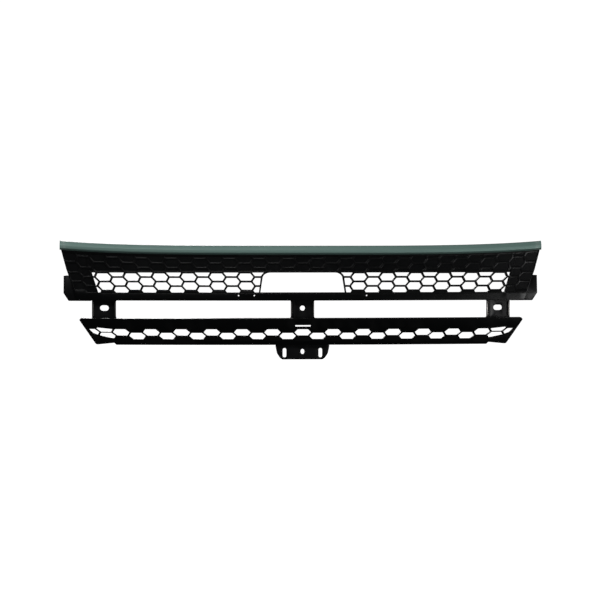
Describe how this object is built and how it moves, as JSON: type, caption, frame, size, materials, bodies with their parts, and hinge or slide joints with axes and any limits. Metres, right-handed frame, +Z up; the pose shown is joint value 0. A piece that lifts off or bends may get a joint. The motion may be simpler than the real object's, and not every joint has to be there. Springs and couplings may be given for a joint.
{
  "type": "front grille",
  "caption": "Wide bowed front grille for a lorry cab, with a painted top strip, honeycomb inserts, a badge window, a lower panel on posts and a centre bracket.",
  "frame": {"origin": "centre of the whole grille's bounding box, on its plane of symmetry", "axes": "+X to the right seen from the front, +Y rearwards into the cab, +Z up"},
  "size_m": [1.8, 0.1466, 0.4418],
  "materials": {
    "black_plastic": "black moulded plastic with a fine satin grain",
    "coated_steel": "black coated sheet steel",
    "painted_strip": "grey-green metallic paint under clear coat",
    "plated_steel": "zinc-plated steel",
    "rubber_seal": "black foam rubber"
  },
  "bodies": {
    "root": {"bracket_bolt_1": "plated_steel", "bracket_bolt_2": "plated_steel", "bracket_bolt_3": "plated_steel", "bracket_bolt_4": "plated_steel", "centre_bracket": "coated_steel", "centre_frame": "black_plastic", "clip_nut_1": "plated_steel", "clip_nut_2": "plated_steel", "clip_nut_3": "plated_steel", "lower_mesh": "black_plastic", "lower_panel": "black_plastic", "mesh_left": "black_plastic", "mesh_right": "black_plastic", "post_centre": "coated_steel", "post_centre_screw_1": "plated_steel", "post_centre_screw_2": "plated_steel", "post_centre_screw_3": "plated_steel", "post_centre_screw_4": "plated_steel", "post_left": "coated_steel", "post_left_screw_1": "plated_steel", "post_left_screw_2": "plated_steel", "post_left_screw_3": "plated_steel", "post_left_screw_4": "plated_steel", "post_right": "coated_steel", "post_right_screw_1": "plated_steel", "post_right_screw_2": "plated_steel", "post_right_screw_3": "plated_steel", "post_right_screw_4": "plated_steel", "push_nut_centre_1": "plated_steel", "push_nut_centre_2": "plated_steel", "push_nut_left_1": "plated_steel", "push_nut_left_2": "plated_steel", "push_nut_left_3": "plated_steel", "push_nut_left_4": "plated_steel", "push_nut_lower_1": "plated_steel", "push_nut_lower_2": "plated_steel", "push_nut_lower_3": "plated_steel", "push_nut_lower_4": "plated_steel", "push_nut_right_1": "plated_steel", "push_nut_right_2": "plated_steel", "push_nut_right_3": "plated_steel", "push_nut_right_4": "plated_steel", "side_bracket_left": "coated_steel", "side_bracket_right": "coated_steel", "side_screw_left_1": "plated_steel", "side_screw_left_2": "plated_steel", "side_screw_right_1": "plated_steel", "side_screw_right_2": "plated_steel", "top_seal": "rubber_seal", "top_trim": "painted_strip", "trim_cap_left": "painted_strip", "trim_cap_right": "painted_strip", "trim_screw_1": "plated_steel", "trim_screw_2": "plated_steel", "trim_screw_3": "plated_steel", "trim_screw_4": "plated_steel", "trim_screw_5": "plated_steel", "trim_screw_6": "plated_steel", "upper_fascia": "black_plastic"}
  },
  "joints": []
}
